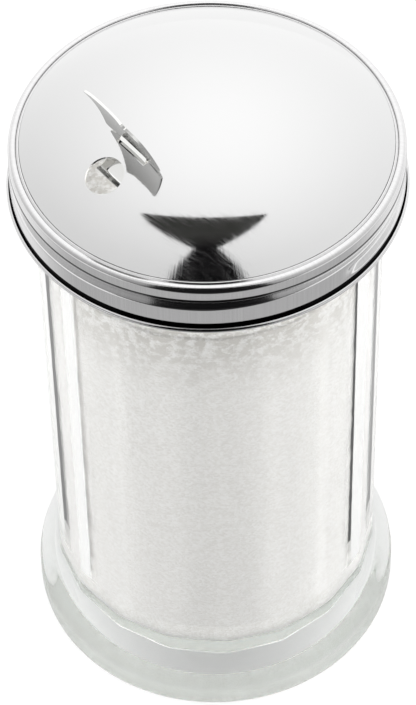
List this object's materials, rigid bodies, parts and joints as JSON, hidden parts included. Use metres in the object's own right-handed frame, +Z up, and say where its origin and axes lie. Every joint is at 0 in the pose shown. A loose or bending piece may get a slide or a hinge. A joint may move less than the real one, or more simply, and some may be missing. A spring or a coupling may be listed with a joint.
{
  "type": "sugar dispenser with flap",
  "caption": "Panelled glass sugar jar with a domed steel screw lid and a pour flap hinged in a slot over a round pour hole.",
  "frame": {"origin": "centre of the glass jar's resting face", "axes": "+Z up along the jar's axis; the flap and pour hole lie at 143 degrees clockwise from +X seen from above"},
  "size_m": [0.078, 0.078, 0.161],
  "materials": {
    "glass": "pressed soda-lime glass, smooth, faintly green",
    "sugar": "granulated white sugar, fine crystals",
    "dome_steel": "spun stainless steel, finely turned",
    "ring_steel": "rolled stainless steel, polished",
    "flap_steel": "bent stainless sheet, polished"
  },
  "bodies": {
    "jar": {"glass_jar": "glass", "sugar": "sugar"},
    "lid_dome": {"dome": "dome_steel"},
    "ring": {"screw_ring": "ring_steel"},
    "flap": {"pour_flap": "flap_steel"}
  },
  "joints": [
    {"name": "lid_rise", "type": "slide", "parent": "jar", "child": "lid_dome", "axis": [0, 0, 1], "range_m": [0, 0.00423]},
    {"name": "ring_turn", "type": "hinge", "parent": "lid_dome", "child": "ring", "pos_m": [0, 0, 0.13], "axis": [0, 0, 1], "range_deg": [0, 360]},
    {"name": "flap_hinge", "type": "hinge", "parent": "lid_dome", "child": "flap", "pos_m": [-0.01378, -0.01046, 0.14507], "axis": [-0.6046, 0.7965, 0], "range_deg": [-90, 3]}
  ],
  "couplings": [
    {"joint": "lid_rise", "follows": "ring_turn", "m_per_rad": 0.0006737}
  ]
}
